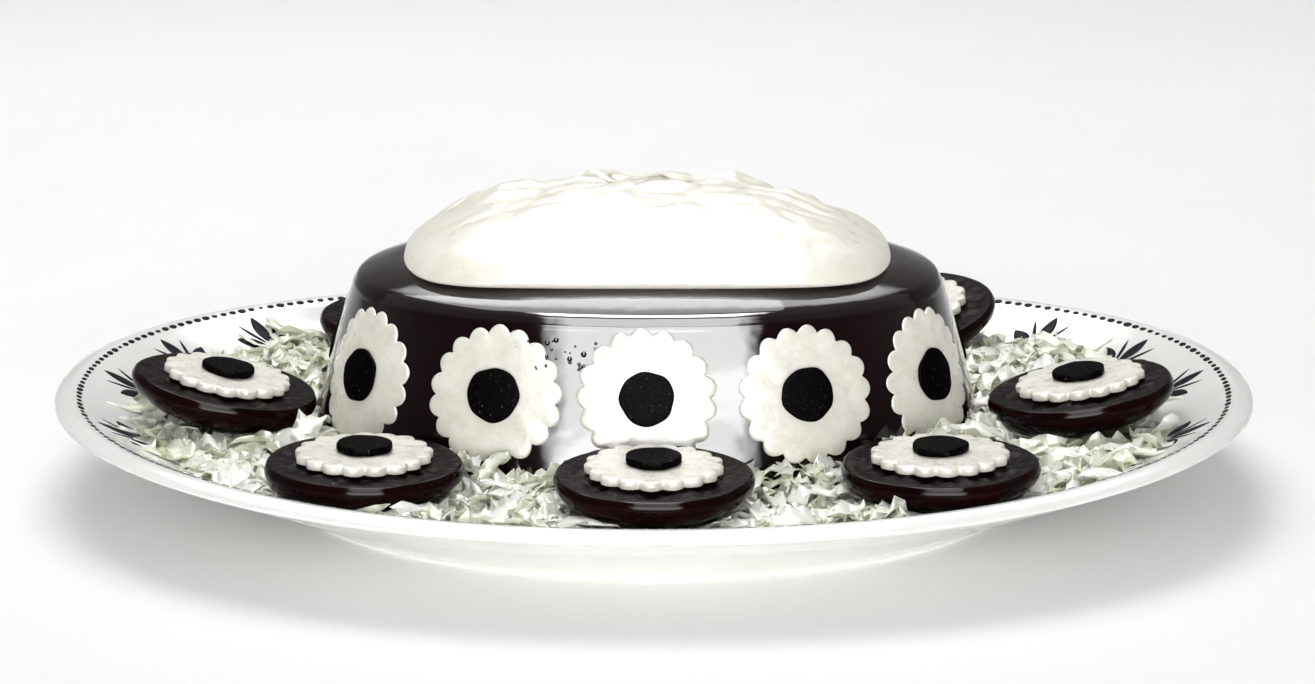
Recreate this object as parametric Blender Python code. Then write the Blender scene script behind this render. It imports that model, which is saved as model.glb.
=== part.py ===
"""Moulded savoury jelly on its oval platter, built as closed solids.

A border-mould jelly stands in the middle of a glazed platter, with a mound of
mayonnaise cream on top.  Fluted white slices with a black round in the middle
are set into its wall.  Tomato halves, each with a slice and a thicker round,
stand round it on a bed of shredded lettuce.

All sizes below are in millimetres and make_object turns them into metres.
The origin is the middle of the platter, on the table; +X runs along the
platter's length, +Y away from the side that is served from, +Z up.
"""
import math

import bpy
import bmesh
from mathutils import Euler, Vector

GAP = 0.3                    # air left between neighbouring pieces
ROUNDNESS = 2.14             # exponent of every oval: 2 is a true ellipse

# Platter, in plan and section.
PLATTER_HALF_LENGTH = 202.0
PLATTER_HALF_WIDTH = 153.3
PLATTER_END_RISE = 5.9       # the ends of the rim stand this much above its sides
PLATTER_SEGMENTS = 44
FLOOR_HEIGHT = 9.6
# Section from the middle of the well, over the rim and back under to the foot:
# inset at the ends, inset at the sides, height at the sides, share of the end rise.
PLATTER_SECTION = [
    (83.5, 60.0, FLOOR_HEIGHT, 0.0),
    (70.0, 44.0, 10.4, 0.0),
    (53.0, 34.0, 12.8, 0.15),
    (38.0, 25.0, 17.3, 0.45),
    (22.0, 16.0, 22.5, 0.8),
    (8.1, 8.1, 28.0, 1.0),
    (3.4, 3.4, 29.4, 1.0),
    (0.0, 0.0, 26.9, 1.0),
    (1.8, 1.8, 24.6, 1.0),
    (37.0, 22.0, 14.2, 0.5),
    (72.0, 38.8, 2.8, 0.0),
    (75.0, 41.3, 0.0, 0.0),
    (80.0, 46.3, 0.0, 0.0),
    (82.5, 48.8, 3.2, 0.0),
]

# Jelly: base oval, draft of the wall, shoulder and top.
JELLY_SHIFT = -2.2           # it was turned out a little to the left of the middle
JELLY_HALF_LENGTH = 116.3
JELLY_HALF_WIDTH = 83.3
JELLY_DRAFT = 0.28           # inward lean of the wall for each unit of height
JELLY_BASE = FLOOR_HEIGHT + GAP
WALL_TOP = 66.8
JELLY_TOP = 76.4
# Shoulder and top above the wall: inset from the wall's top edge, height.
JELLY_CROWN = [(1.1, 70.0), (4.2, 72.9), (15.4, JELLY_TOP)]
JELLY_SEGMENTS = 50

# Cream mound on the jelly.
CREAM_HALF_LENGTH = 81.6
CREAM_HALF_WIDTH = 49.6
CREAM_ROUNDNESS = 2.7
CREAM_BASE = JELLY_TOP + GAP
CREAM_EDGE = 78.6
CREAM_TOP = 101.6
CREAM_FULLNESS = 2.35        # exponent of the mound's section: higher is squarer
CREAM_ROWS = [1.0, 0.93, 0.8, 0.62, 0.4, 0.18]
CREAM_SEGMENTS = 38
CREAM_SHOULDER = (-55.0, 6.0, 16.0, 3.2)   # x, y, reach and height of its fuller end

# Fluted slices and black rounds: those set into the wall, then those on the tomatoes.
PETALS = 16
FLUTE_DEPTH = 0.1            # of the slice's radius
WALL_SLICES = 11
NUDGED_SLICE = 11            # one slice was laid a little out of its even place
NUDGE = 2.4
WALL_SLICE_RADIUS = 22.5
WALL_SLICE_THICKNESS = 3.0
WALL_SLICE_HEIGHT = 46.6
WALL_SLICE_DROOP = 3.0       # how much lower the slices at the ends of the oval sit
WALL_SLICE_PROUD = 0.4
WALL_ROUND_RADIUS = 8.8
WALL_ROUND_THICKNESS = 1.2
POCKET_RADIUS = 23.4         # round pocket in the wall, with flat sides that clear the petals
POCKET_SIDES = 16
POCKET_GAP = 0.35
TOP_SLICE_RADIUS = 21.8
TOP_SLICE_THICKNESS = 3.0
TOP_ROUND_RADIUS = 8.8
TOP_ROUND_THICKNESS = 2.5
ROUND_SIDES = 10

# Tomato halves: section from the flat base up over the cut rim (radius, depth).
TOMATO_RADIUS = 31.5
TOMATO_DEPTH = 13.0
TOMATO_SECTION = [(10.0, -TOMATO_DEPTH), (22.5, -10.8), (29.6, -6.3),
                  (TOMATO_RADIUS, -2.9), (30.4, 0.0)]
TOMATO_SEGMENTS = 15
# Middle of each cut rim (x, y, height) and how far it leans in towards the jelly.
TOMATO_PLACES = [
    (0.0, -110.8, 34.6, 0.5),
    (-90.5, -96.8, 34.4, 2.0),
    (89.5, -96.8, 34.2, 2.0),
    (-143.5, -16.5, 37.0, 11.5),
    (143.0, -18.5, 36.2, 9.0),
    (-91.0, 88.0, 32.4, 3.0),
    (93.5, 89.0, 34.2, 14.0),
    (0.0, 111.0, 34.4, 1.0),
]

# Lettuce heap.
LETTUCE_SEGMENTS = 50
# Rings of the heap, as shares of the way from the jelly out to its edge.
LETTUCE_TOP_ROWS = (0.0, 0.2, 0.45, 0.7, 0.9, 1.0)
LETTUCE_FLOOR_ROWS = (1.0, 0.72, 0.4, 0.0)
SEAT_SIDES = 10
LETTUCE_DEPTH = 12.0
LETTUCE_BANKED = 9.0         # how much more is banked up against the jelly
LETTUCE_EDGE_FRONT = 15.5    # how far inside the platter's edge the heap ends in front
LETTUCE_EDGE_DRAWN_IN = 15.0  # and how much further in at the ends and the back
LETTUCE_FLOOR_GAP = 0.7      # above the platter
SEAT_GAP = 0.8               # round each tomato half


def oval_point(half_length, half_width, angle, roundness=ROUNDNESS):
    """Return x, y of a superellipse at a parameter angle."""
    across, along = math.cos(angle), math.sin(angle)
    power = 2.0 / roundness
    return (half_length * math.copysign(abs(across) ** power, across),
            half_width * math.copysign(abs(along) ** power, along))


def even_angles(half_length, half_width, count, start=-math.pi / 2, roundness=ROUNDNESS):
    """Return parameter angles that split an oval's edge into equal lengths."""
    steps = 1440
    angles = [start + 2 * math.pi * i / steps for i in range(steps + 1)]
    points = [Vector(oval_point(half_length, half_width, a, roundness)) for a in angles]
    travelled = [0.0]
    for before, after in zip(points, points[1:]):
        travelled.append(travelled[-1] + (after - before).length)
    found, k = [], 0
    for i in range(count):
        target = travelled[-1] * i / count
        while travelled[k + 1] < target:
            k += 1
        share = (target - travelled[k]) / (travelled[k + 1] - travelled[k])
        found.append(angles[k] + share * (angles[k + 1] - angles[k]))
    return found


def make_object(name, vertices, faces, material):
    """Make one closed object from millimetre vertices, with its faces out."""
    mesh = bpy.data.meshes.new(name)
    mesh.from_pydata([Vector(v) * 0.001 for v in vertices], [], faces)
    work = bmesh.new()
    work.from_mesh(mesh)
    bmesh.ops.recalc_face_normals(work, faces=work.faces)
    bmesh.ops.triangulate(work, faces=[f for f in work.faces if len(f.verts) > 4])
    work.to_mesh(mesh)
    work.free()
    mesh.materials.append(material)
    thing = bpy.data.objects.new(name, mesh)
    bpy.context.scene.collection.objects.link(thing)
    return thing


def loft(rings, first_middle=None, last_middle=None, closed=False):
    """Join equal rings of points into a closed skin.

    A closed loft joins the last ring to the first.  Otherwise each end is one
    flat face, or a fan round a middle point if one is given.
    """
    count = len(rings[0])
    vertices = [point for ring in rings for point in ring]
    faces = []
    for row in range(len(rings) if closed else len(rings) - 1):
        here, after = row * count, (row + 1) % len(rings) * count
        for i in range(count):
            j = (i + 1) % count
            faces.append((here + i, here + j, after + j, after + i))
    if closed:
        return vertices, faces
    for start, middle in ((0, first_middle), ((len(rings) - 1) * count, last_middle)):
        ring = [start + i for i in range(count)]
        if middle is None:
            faces.append(tuple(ring))
        else:
            vertices.append(middle)
            faces += [(ring[i], ring[(i + 1) % count], len(vertices) - 1)
                      for i in range(count)]
    return vertices, faces


def cut_with(thing, cutter):
    """Cut a hidden tool body out of a piece."""
    cutter.hide_render = True
    cutter.display_type = "WIRE"
    cut = thing.modifiers.new(cutter.name, "BOOLEAN")
    cut.operation, cut.solver, cut.object = "DIFFERENCE", "EXACT", cutter


def make_material(name, colour, roughness):
    """Return a Principled material of one colour."""
    material = bpy.data.materials.new(name)
    material.use_nodes = True
    shader = material.node_tree.nodes["Principled BSDF"]
    shader.inputs["Base Color"].default_value = (*colour, 1.0)
    shader.inputs["Roughness"].default_value = roughness
    return material


# ---- platter ----

def platter_ring(section_row, angles):
    """Return one ring of the platter's skin."""
    end_inset, side_inset, height, share = section_row
    ring = []
    for angle in angles:
        x, y = oval_point(PLATTER_HALF_LENGTH - end_inset,
                          PLATTER_HALF_WIDTH - side_inset, angle)
        rise = PLATTER_END_RISE * share * (x / PLATTER_HALF_LENGTH) ** 2
        ring.append((x, y, height + rise))
    return ring


def platter_height(x, y):
    """Return the height of the platter's upper face at a point in plan."""
    rows = PLATTER_SECTION[:6]
    reach = [(abs(x) / (PLATTER_HALF_LENGTH - row[0])) ** ROUNDNESS
             + (abs(y) / (PLATTER_HALF_WIDTH - row[1])) ** ROUNDNESS for row in rows]
    if reach[0] <= 1.0:
        return FLOOR_HEIGHT
    for k in range(len(rows) - 1):
        if reach[k + 1] <= 1.0:
            share = (reach[k] - 1.0) / (reach[k] - reach[k + 1])
            level = rows[k][2] + share * (rows[k + 1][2] - rows[k][2])
            lift = rows[k][3] + share * (rows[k + 1][3] - rows[k][3])
            return level + PLATTER_END_RISE * lift * (x / PLATTER_HALF_LENGTH) ** 2
    return rows[-1][2] + PLATTER_END_RISE


def build_platter(material):
    """Build the oval platter with its raised ends and foot ring."""
    angles = even_angles(PLATTER_HALF_LENGTH, PLATTER_HALF_WIDTH, PLATTER_SEGMENTS)
    rings = [platter_ring(row, angles) for row in PLATTER_SECTION]
    return make_object("platter", *loft(rings), material)


# ---- jelly ----

def jelly_halves(height):
    """Return the wall's half length and half width at a height."""
    lean = JELLY_DRAFT * (height - JELLY_BASE)
    return JELLY_HALF_LENGTH - lean, JELLY_HALF_WIDTH - lean


def jelly_ring(inset, height, angles, wall_height=None):
    """Return one ring of the jelly's skin, inset from the wall at wall_height."""
    half_length, half_width = jelly_halves(height if wall_height is None else wall_height)
    return [(JELLY_SHIFT + x, y, height) for x, y in
            (oval_point(half_length - inset, half_width - inset, a) for a in angles)]


def build_jelly(material):
    """Build the jelly as one solid, before its pockets are cut."""
    angles = even_angles(*jelly_halves(WALL_SLICE_HEIGHT), JELLY_SEGMENTS)
    rings = [jelly_ring(0.0, height, angles)
             for height in (JELLY_BASE, WALL_SLICE_HEIGHT, WALL_TOP)]
    rings += [jelly_ring(inset, height, angles, WALL_TOP)
              for inset, height in JELLY_CROWN]
    return make_object("jelly", *loft(rings), material)


class WallPlace:
    """A place on the jelly's wall, with a flat sheet's u, v wrapped round it."""

    def __init__(self, index):
        half_length, half_width = jelly_halves(WALL_SLICE_HEIGHT)
        self.angles = even_angles(half_length, half_width, 360)
        self.edge = sum((self.base(i + 1) - self.base(i)).length for i in range(360))
        nudge = NUDGE if index + 1 == NUDGED_SLICE else 0.0
        self.start = index / WALL_SLICES + nudge / self.edge
        x = self.base(self.start * 360).x
        self.height = WALL_SLICE_HEIGHT - WALL_SLICE_DROOP * (x / half_length) ** 2

    def base(self, step):
        """Return the middle-height wall point at a step of 360 round the wall."""
        low = math.floor(step)
        first, last = self.angles[low % 360], self.angles[(low + 1) % 360]
        turn = (last - first) % (2 * math.pi)
        angle = first + (step - low) * turn
        return Vector(oval_point(*jelly_halves(WALL_SLICE_HEIGHT), angle))

    def point(self, u, v, proud):
        """Return the point u along the wall, v up it and proud millimetres off it."""
        step = (self.start + u / self.edge) * 360
        height = self.height + v / math.hypot(1.0, JELLY_DRAFT)
        here = self.base(step)
        along = (self.base(step + 0.5) - self.base(step - 0.5)).normalized()
        out = Vector((along.y, -along.x))
        foot = here - out * JELLY_DRAFT * (height - WALL_SLICE_HEIGHT)
        normal = Vector((out.x, out.y, JELLY_DRAFT)).normalized()
        spot = Vector((foot.x, foot.y, height)) + normal * proud
        return spot + Vector((JELLY_SHIFT, 0.0, 0.0))


def fluted_outline(radius):
    """Return u, v points of a fluted slice: a valley and two crests a petal."""
    points = []
    for petal in range(PETALS):
        for share, depth in ((0.0, FLUTE_DEPTH), (0.3, 0.0), (0.7, 0.0)):
            angle = 2 * math.pi * (petal + share) / PETALS + math.pi / 2
            reach = radius * (1.0 - depth)
            points.append((reach * math.cos(angle), reach * math.sin(angle)))
    return points


def round_outline(radius, sides=ROUND_SIDES):
    """Return u, v points of a plain round."""
    return [(radius * math.cos(2 * math.pi * i / sides),
             radius * math.sin(2 * math.pi * i / sides)) for i in range(sides)]


def wrapped_disc(place, outline, back, front):
    """Return a disc that follows the wall, from its back face to its front face."""
    rings = [[place.point(u, v, proud) for u, v in outline] for proud in (back, front)]
    return loft(rings, place.point(0.0, 0.0, back), place.point(0.0, 0.0, front))


def wrapped_slice(place, back, front):
    """Return a fluted slice that follows the wall.

    Its petals run out towards the back, which is a plain round with one corner
    for each petal's valley.
    """
    flutes = fluted_outline(WALL_SLICE_RADIUS)
    vertices = [place.point(u, v, front) for u, v in flutes]
    vertices += [place.point(u, v, back) for u, v in flutes[::3]]
    vertices += [place.point(0.0, 0.0, front), place.point(0.0, 0.0, back)]
    crests, middle_front, middle_back = len(flutes), len(vertices) - 2, len(vertices) - 1
    faces = [(i, (i + 1) % crests, middle_front) for i in range(crests)]
    for petal in range(PETALS):
        here, after = crests + petal, crests + (petal + 1) % PETALS
        rim = [(3 * petal + k) % crests for k in range(4)]
        faces += [(here, rim[0], rim[1]), (here, rim[1], rim[2], after),
                  (after, rim[2], rim[3]), (here, after, middle_back)]
    return vertices, faces


def build_wall_slices(jelly, white, black):
    """Set the slices and rounds into the wall and cut their pockets in the jelly."""
    for index in range(WALL_SLICES):
        place = WallPlace(index)
        back = WALL_SLICE_PROUD - WALL_SLICE_THICKNESS
        make_object(f"wall_slice_{index + 1}",
                    *wrapped_slice(place, back, WALL_SLICE_PROUD), white)
        disc = round_outline(WALL_ROUND_RADIUS)
        seat = WALL_SLICE_PROUD + GAP
        make_object(f"wall_round_{index + 1}",
                    *wrapped_disc(place, disc, seat, seat + WALL_ROUND_THICKNESS), black)
        wide = round_outline(POCKET_RADIUS, POCKET_SIDES)
        cutter = make_object(f"pocket_{index + 1}",
                             *wrapped_disc(place, wide, back - POCKET_GAP, 3.0), white)
        cut_with(jelly, cutter)


# ---- cream ----

def cream_lump(x, y):
    """Return the folds of the mound, strongest along its back, and its fuller shoulder."""
    folds = (math.sin(0.13 * x + 0.9) * math.sin(0.21 * y + 0.4)
             + 0.6 * math.sin(0.27 * x - 0.11 * y + 2.0))
    middle_x, middle_y, reach, height = CREAM_SHOULDER
    away = ((x - middle_x) ** 2 + (y - middle_y) ** 2) / reach ** 2
    return (folds * (0.5 + 0.9 / (1.0 + math.exp(-0.15 * (y - 6.0))))
            + height * math.exp(-away))


def build_cream(material):
    """Build the mound of cream that lies on the jelly."""
    angles = even_angles(CREAM_HALF_LENGTH, CREAM_HALF_WIDTH, CREAM_SEGMENTS,
                         roundness=CREAM_ROUNDNESS)
    rings = [[(JELLY_SHIFT + x, y, CREAM_BASE) for x, y in
              (oval_point(CREAM_HALF_LENGTH - 1.0, CREAM_HALF_WIDTH - 1.0, a,
                          CREAM_ROUNDNESS) for a in angles)]]
    for row in CREAM_ROWS:
        ring = []
        for angle in angles:
            x, y = oval_point(CREAM_HALF_LENGTH * row, CREAM_HALF_WIDTH * row, angle,
                              CREAM_ROUNDNESS)
            height = CREAM_EDGE + (CREAM_TOP - CREAM_EDGE) * (1.0 - row ** CREAM_FULLNESS)
            ring.append((JELLY_SHIFT + x, y, height + (1.0 - row ** 4) * cream_lump(x, y)))
        rings.append(ring)
    return make_object("cream", *loft(rings), material)


# ---- tomato halves ----

def tilted(points, place):
    """Lean points in towards the jelly and stand them at a tomato's place."""
    x, y, height, lean = place
    turn = math.atan2(y, x)
    lay = (Euler((0.0, 0.0, turn)).to_matrix()
           @ Euler((0.0, math.radians(-lean), 0.0)).to_matrix()
           @ Euler((0.0, 0.0, -turn)).to_matrix())
    middle = Vector((x, y, height))
    return [middle + lay @ Vector(point) for point in points]


def turned_ring(radius, height, count):
    """Return a level ring of points."""
    return [(radius * math.cos(2 * math.pi * i / count),
             radius * math.sin(2 * math.pi * i / count), height) for i in range(count)]


def build_tomato(number, place, red, white, black):
    """Build one tomato half with its slice and round on top."""
    rings = [tilted(turned_ring(radius, depth, TOMATO_SEGMENTS), place)
             for radius, depth in TOMATO_SECTION]
    make_object(f"tomato_half_{number}", *loft(rings), red)
    level = GAP
    flutes = fluted_outline(TOP_SLICE_RADIUS)
    rings = [tilted([(u, v, level + rise) for u, v in flutes], place)
             for rise in (0.0, TOP_SLICE_THICKNESS)]
    make_object(f"tomato_slice_{number}", *loft(rings), white)
    level += TOP_SLICE_THICKNESS + GAP
    rings = [tilted([(u, v, level + rise) for u, v in round_outline(TOP_ROUND_RADIUS)], place)
             for rise in (0.0, TOP_ROUND_THICKNESS)]
    make_object(f"tomato_round_{number}", *loft(rings), black)


# ---- lettuce ----

def tomato_seat(number, place, material):
    """Return the hidden body that hollows the heap out for one tomato half.

    Its sides are set out so that their middles, not their corners, clear the tomato.
    """
    widen = 1.0 / math.cos(math.pi / SEAT_SIDES)
    section = [((radius + SEAT_GAP) * widen, depth - SEAT_GAP)
               for radius, depth in TOMATO_SECTION[:4]]
    section.append((section[-1][0], 20.0))
    rings = [tilted(turned_ring(radius, depth, SEAT_SIDES), place)
             for radius, depth in section]
    return make_object(f"seat_{number}", *loft(rings), material)


def lettuce_edge(angle):
    """Return how far inside the platter's edge the heap ends at an angle."""
    away = 0.5 + 0.5 * math.tanh(6.0 * (math.sin(angle) + 0.55))
    return (LETTUCE_EDGE_FRONT + LETTUCE_EDGE_DRAWN_IN * away
            + 2.6 * math.sin(7 * angle + 0.5) + 1.9 * math.sin(17 * angle + 2.0))


def lettuce_ring(share, angles, heaped):
    """Return one ring of the heap, a share of the way from the jelly to its edge."""
    ring = []
    for angle in angles:
        edge = lettuce_edge(angle)
        inner_x, inner_y = oval_point(JELLY_HALF_LENGTH + 1.0, JELLY_HALF_WIDTH + 1.0, angle)
        outer_x, outer_y = oval_point(PLATTER_HALF_LENGTH - edge,
                                      PLATTER_HALF_WIDTH - edge, angle)
        x = (1 - share) * (inner_x + JELLY_SHIFT) + share * outer_x
        y = (1 - share) * inner_y + share * outer_y
        height = platter_height(x, y) + LETTUCE_FLOOR_GAP
        if heaped:
            lump = 0.75 + 0.25 * math.sin(0.16 * x + 0.7) * math.cos(0.19 * y - 1.3)
            height += (LETTUCE_DEPTH * lump * (1.0 - 0.8 * share ** 3)
                       + LETTUCE_BANKED * (1.0 - share) ** 2)
        ring.append((x, y, height))
    return ring


def build_lettuce(material):
    """Build the bed of shredded lettuce between the jelly and the rim."""
    angles = even_angles(PLATTER_HALF_LENGTH, PLATTER_HALF_WIDTH, LETTUCE_SEGMENTS)
    rings = [lettuce_ring(share, angles, True) for share in LETTUCE_TOP_ROWS]
    rings += [lettuce_ring(share, angles, False) for share in LETTUCE_FLOOR_ROWS]
    heap = make_object("lettuce", *loft(rings, closed=True), material)
    for number, place in enumerate(TOMATO_PLACES, start=1):
        cut_with(heap, tomato_seat(number, place, material))


def main():
    """Clear the scene and build every piece."""
    for thing in list(bpy.data.objects):
        bpy.data.objects.remove(thing, do_unlink=True)
    glaze = make_material("white_glaze", (0.84, 0.83, 0.8), 0.15)
    garnet = make_material("garnet_jelly", (0.03, 0.006, 0.008), 0.08)
    mayonnaise = make_material("mayonnaise", (0.86, 0.83, 0.74), 0.4)
    egg_white = make_material("egg_white", (0.84, 0.82, 0.76), 0.35)
    truffle = make_material("truffle", (0.012, 0.01, 0.01), 0.4)
    tomato = make_material("tomato_skin", (0.09, 0.012, 0.01), 0.25)
    leaf = make_material("lettuce_leaf", (0.42, 0.52, 0.22), 0.5)
    build_platter(glaze)
    jelly = build_jelly(garnet)
    build_wall_slices(jelly, egg_white, truffle)
    build_cream(mayonnaise)
    for number, place in enumerate(TOMATO_PLACES, start=1):
        build_tomato(number, place, tomato, egg_white, truffle)
    build_lettuce(leaf)


main()
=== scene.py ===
"""Dressed savoury jelly on its oval platter.

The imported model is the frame: a border-mould jelly with fluted egg-white slices
set into its wall, a mound of mayonnaise cream on top, tomato halves round it and
a bed of shredded lettuce.  Each sub-assembly below builds its surfaces as numpy
arrays in millimetres and puts them into meshes in metres, in the frame's place.
"""
import logging
import math
from dataclasses import dataclass, field
from enum import Enum

import bpy
import numpy as np
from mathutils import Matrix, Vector


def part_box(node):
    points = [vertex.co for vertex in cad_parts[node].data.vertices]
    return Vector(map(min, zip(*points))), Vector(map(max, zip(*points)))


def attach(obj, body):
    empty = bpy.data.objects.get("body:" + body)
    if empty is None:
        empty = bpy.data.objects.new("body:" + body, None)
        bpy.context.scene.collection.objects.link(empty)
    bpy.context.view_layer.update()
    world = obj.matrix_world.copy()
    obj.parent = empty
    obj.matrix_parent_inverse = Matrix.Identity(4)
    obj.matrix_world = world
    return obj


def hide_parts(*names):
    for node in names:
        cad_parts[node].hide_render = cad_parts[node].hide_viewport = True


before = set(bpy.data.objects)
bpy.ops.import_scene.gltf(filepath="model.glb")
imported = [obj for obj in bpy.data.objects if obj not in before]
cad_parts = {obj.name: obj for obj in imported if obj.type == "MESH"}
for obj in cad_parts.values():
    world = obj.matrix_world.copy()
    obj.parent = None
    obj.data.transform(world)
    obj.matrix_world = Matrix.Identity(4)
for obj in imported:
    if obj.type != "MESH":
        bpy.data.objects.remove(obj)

Array = np.ndarray
Skin = tuple[Array, list, dict, Array | None]   # points, faces, attributes, slot of each face

MM = 0.001
ROUNDNESS = 2.14             # exponent of every oval of the dish: 2 is a true ellipse
WALL_SLICES = 11
TOMATOES = 8
BODY = "root"

log = logging.getLogger("savoury_jelly")


# ---- shapes ----

def node_box(node: str) -> tuple[Array, Array]:
    """Lowest and highest corner of a frame node, in millimetres."""
    low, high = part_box(node)
    return np.array(low) / MM, np.array(high) / MM


def oval(half_length: Array | float, half_width: Array | float, angle: Array | float,
         roundness: float = ROUNDNESS) -> Array:
    """Points of a superellipse.

    x = L sign(cos a) |cos a|^(2/n), y = W sign(sin a) |sin a|^(2/n).

    Args:
        half_length: L, half the length along X.
        half_width: W, half the width along Y.
        angle: a, the parameter angle in radians.
        roundness: n, 2 for a true ellipse.

    Returns:
        An array whose last axis is x, y.
    """
    power = 2.0 / roundness
    along, across = np.cos(angle), np.sin(angle)
    return np.stack([half_length * np.sign(along) * np.abs(along) ** power,
                     half_width * np.sign(across) * np.abs(across) ** power], -1)


def even_angles(half_length: float, half_width: float, count: int,
                roundness: float = ROUNDNESS) -> Array:
    """Parameter angles that cut an oval's edge into equal lengths.

    Args:
        half_length: half the oval's length.
        half_width: half its width.
        count: how many angles.
        roundness: the oval's exponent.

    Returns:
        The angles, from the front middle round by the right.
    """
    angles = -math.pi / 2 + np.linspace(0.0, 2 * math.pi, 4001)
    steps = np.diff(oval(half_length, half_width, angles, roundness), axis=0)
    travelled = np.concatenate([[0.0], np.cumsum(np.linalg.norm(steps, axis=1))])
    return np.interp(np.arange(count) * travelled[-1] / count, travelled, angles)


def smooth_rows(table: list, per_row: int) -> Array:
    """Rows between those of a table, on a Catmull-Rom curve.

    p(t) = 0.5 (2b + (c - a) t + (2a - 5b + 4c - d) t^2 + (3b - a - 3c + d) t^3)
    between rows b and c, with a before and d after them.

    Args:
        table: rows of numbers.
        per_row: how many steps each row is cut into.

    Returns:
        The finer table.
    """
    rows = np.array(table, float)
    padded = np.vstack([2 * rows[0] - rows[1], rows, 2 * rows[-1] - rows[-2]])
    t = (np.arange(per_row) / per_row)[None, :, None]
    a, b, c, d = (padded[k:len(padded) - 3 + k, None, :] for k in range(4))
    curve = 0.5 * (2 * b + (c - a) * t + (2 * a - 5 * b + 4 * c - d) * t ** 2
                   + (3 * b - a - 3 * c + d) * t ** 3)
    return np.vstack([curve.reshape(-1, rows.shape[1]), rows[-1:]])


def waves(x: Array, y: Array, size: float, seed: int, count: int = 7) -> Array:
    """Smooth lumps of about one size: a sum of sine waves in seeded directions.

    w = sum sin(2 pi (x cos q + y sin q) / s + p) / sqrt(count).

    Args:
        x: first coordinate, in millimetres.
        y: second coordinate.
        size: the middle wavelength s.
        seed: fixes the directions q, the phases p and the sizes.
        count: how many waves are summed.

    Returns:
        The lumps' height at each point, mostly between -1 and 1.
    """
    rng = np.random.default_rng(seed)
    turn, phase = rng.uniform(0, 2 * math.pi, (2, count))
    length = size * rng.uniform(0.7, 1.5, count)
    across = x[..., None] * np.cos(turn) + y[..., None] * np.sin(turn)
    return np.sin(2 * math.pi * across / length + phase).sum(-1) / math.sqrt(count)


def grid_faces(rows: int, columns: int, around: bool) -> Array:
    """Quads of a grid of rows x columns points; around joins its last column to the first."""
    column = np.arange(columns if around else columns - 1)
    row = np.arange(rows - 1)[:, None] * columns
    here, after = row + column, row + (column + 1) % columns
    return np.stack([here, after, after + columns, here + columns], -1).reshape(-1, 4)


def strip_faces(steps: int, across: int) -> Array:
    """Faces of a thin closed strip: columns run over its top and back under it."""
    columns = 2 * across
    start = np.arange(across - 1)
    cap = np.stack([start + 1, start, columns - 1 - start, columns - 2 - start], -1)
    end = cap[:, ::-1] + (steps - 1) * columns
    return np.vstack([grid_faces(steps, columns, True), cap, end])[:, ::-1]


def button_faces(rows: int, columns: int) -> Array:
    """Triangles of a closed round button: its rings, then its two poles."""
    quads = grid_faces(rows, columns, True)
    here = np.arange(columns)
    after = (here + 1) % columns
    top = (rows - 1) * columns
    first = np.stack([after, here, np.full(columns, rows * columns)], -1)
    last = np.stack([here + top, after + top, np.full(columns, rows * columns + 1)], -1)
    return np.vstack([quads[:, [0, 1, 2]], quads[:, [0, 2, 3]], first, last])


def closed_loft(rings: Array) -> tuple[Array, list]:
    """Joins rings of points into a skin that is closed by a fan at each end.

    Args:
        rings: points by row, column and axis.

    Returns:
        The points, with the two poles last, and the faces.
    """
    rows, columns, _ = rings.shape
    points = np.vstack([rings.reshape(-1, 3), rings[0].mean(0), rings[-1].mean(0)])
    here = np.arange(columns)
    after = (here + 1) % columns
    first = np.stack([after, here, np.full(columns, rows * columns)], -1)
    top = (rows - 1) * columns
    last = np.stack([here + top, after + top, np.full(columns, rows * columns + 1)], -1)
    return points, grid_faces(rows, columns, True).tolist() + first.tolist() + last.tolist()


def repeated(points: Array, faces: Array) -> tuple[Array, Array]:
    """One mesh out of many copies of a grid.

    Args:
        points: points by copy, point and axis.
        faces: the faces of one copy.

    Returns:
        All points in one list, and all faces.
    """
    copies, each, _ = points.shape
    shifted = faces[None] + (np.arange(copies) * each)[:, None, None]
    return points.reshape(-1, 3), shifted.reshape(-1, faces.shape[1])


def make_piece(name: str, skin: Skin, materials: list[bpy.types.Material],
               stands_for: tuple[str, ...] = ()) -> bpy.types.Object:
    """Puts a skin into a mesh and lets it ride on the body.

    Args:
        name: the piece's name.
        skin: points in millimetres, faces, attributes of the points, slot of each face.
        materials: the piece's materials, in the order of its slots.
        stands_for: the frame nodes that it replaces.

    Returns:
        The piece.
    """
    points, faces, attributes, slots = skin
    mesh = bpy.data.meshes.new(name)
    mesh.from_pydata((points * MM).tolist(), [], faces)
    mesh.polygons.foreach_set("use_smooth", np.ones(len(mesh.polygons), bool))
    for key, values in attributes.items():
        kind = "FLOAT_VECTOR" if values.ndim == 2 else "FLOAT"
        layer = mesh.attributes.new(key, kind, "POINT")
        layer.data.foreach_set("vector" if values.ndim == 2 else "value",
                               np.ascontiguousarray(values, np.float32).ravel())
    for material in materials:
        mesh.materials.append(material)
    if slots is not None:
        mesh.polygons.foreach_set("material_index", slots.astype(np.int32))
    mesh.update()
    piece = bpy.data.objects.new(name, mesh)
    bpy.context.scene.collection.objects.link(piece)
    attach(piece, BODY)
    if stands_for:
        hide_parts(*stands_for)
    log.info("%s: %d points, %d faces", name, len(mesh.vertices), len(mesh.polygons))
    return piece


# ---- finishes ----

def linear(colour: str) -> tuple[float, float, float, float]:
    """An sRGB hex colour as linear red, green, blue and alpha."""
    parts = [int(colour[k:k + 2], 16) / 255 for k in (1, 3, 5)]
    return (*[p / 12.92 if p <= 0.04045 else ((p + 0.055) / 1.055) ** 2.4 for p in parts], 1.0)


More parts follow.
